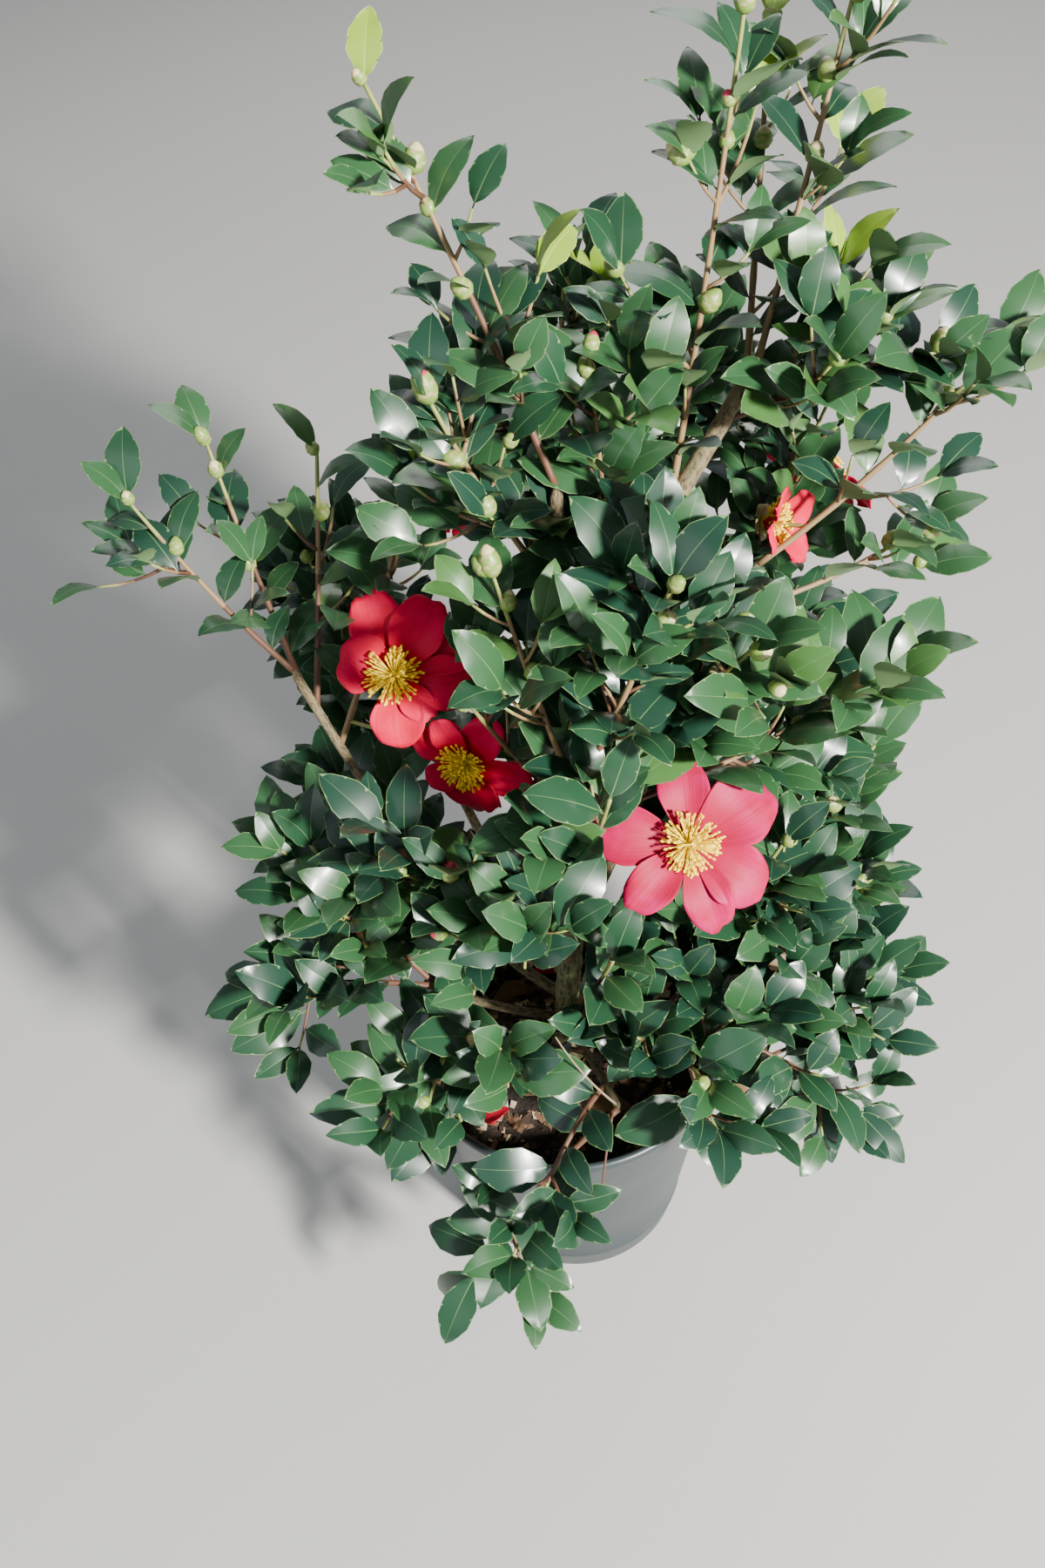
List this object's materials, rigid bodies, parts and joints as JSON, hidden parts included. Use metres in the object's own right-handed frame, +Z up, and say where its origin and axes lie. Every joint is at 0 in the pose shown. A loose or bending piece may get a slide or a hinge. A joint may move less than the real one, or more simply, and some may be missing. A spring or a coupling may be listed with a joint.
{
  "type": "potted shrub",
  "caption": "Young evergreen camellia shrub in a tapered round nursery pot, with upright twiggy boughs, glossy toothed leaves, round buds and open red flowers.",
  "frame": {"origin": "middle of the pot's flat underside", "axes": "+Z up, +Y to the back, away from the side that the picture shows, +X to that side's right"},
  "size_m": [0.417, 0.4084, 0.6222],
  "materials": {
    "pot": "satin moulded plastic",
    "soil": "loose bark mix",
    "bark": "fine fissured bark",
    "foliage": "glossy leaf"
  },
  "bodies": {
    "root": {"pot": "pot", "soil": "soil", "trunk": "bark", "bough_leader": "bark", "bough_left_leader": "bark", "bough_left": "bark", "bough_front": "bark", "bough_right": "bark", "bough_right_low": "bark", "bough_front_low": "bark", "bough_left_low": "bark", "bough_back": "bark", "bough_back_left": "bark", "bough_back_right": "bark", "bough_back_low": "bark", "foliage_top_right": "foliage", "foliage_top_thin": "foliage", "foliage_top_centre": "foliage", "foliage_top_left": "foliage", "foliage_crown_right": "foliage", "foliage_crown_centre": "foliage", "foliage_crown_left": "foliage", "foliage_crown_front": "foliage", "foliage_right_upper": "foliage", "foliage_right_lower": "foliage", "foliage_right_mid": "foliage", "foliage_centre": "foliage", "foliage_centre_low": "foliage", "foliage_centre_left": "foliage", "foliage_centre_right": "foliage", "foliage_front_left": "foliage", "foliage_left_far": "foliage", "foliage_left_upper": "foliage", "foliage_left_inner": "foliage", "foliage_left_right": "foliage", "foliage_left_side": "foliage", "foliage_left_back": "foliage", "foliage_left_low": "foliage", "foliage_left_front": "foliage", "foliage_front_side": "foliage", "foliage_front_droop": "foliage", "foliage_front_skirt": "foliage", "foliage_front_low": "foliage", "foliage_front_mid": "foliage", "foliage_front_core": "foliage", "foliage_front_right": "foliage", "foliage_right_low": "foliage", "foliage_right_skirt": "foliage", "foliage_right_side": "foliage", "foliage_right_front": "foliage", "foliage_right_outer": "foliage", "foliage_back_top": "foliage", "foliage_back_mid": "foliage", "foliage_back_upper": "foliage", "foliage_back_left": "foliage", "foliage_back_left_low": "foliage", "foliage_back_right": "foliage", "foliage_back_right_low": "foliage", "foliage_back_low": "foliage", "foliage_back_side": "foliage"}
  },
  "joints": []
}
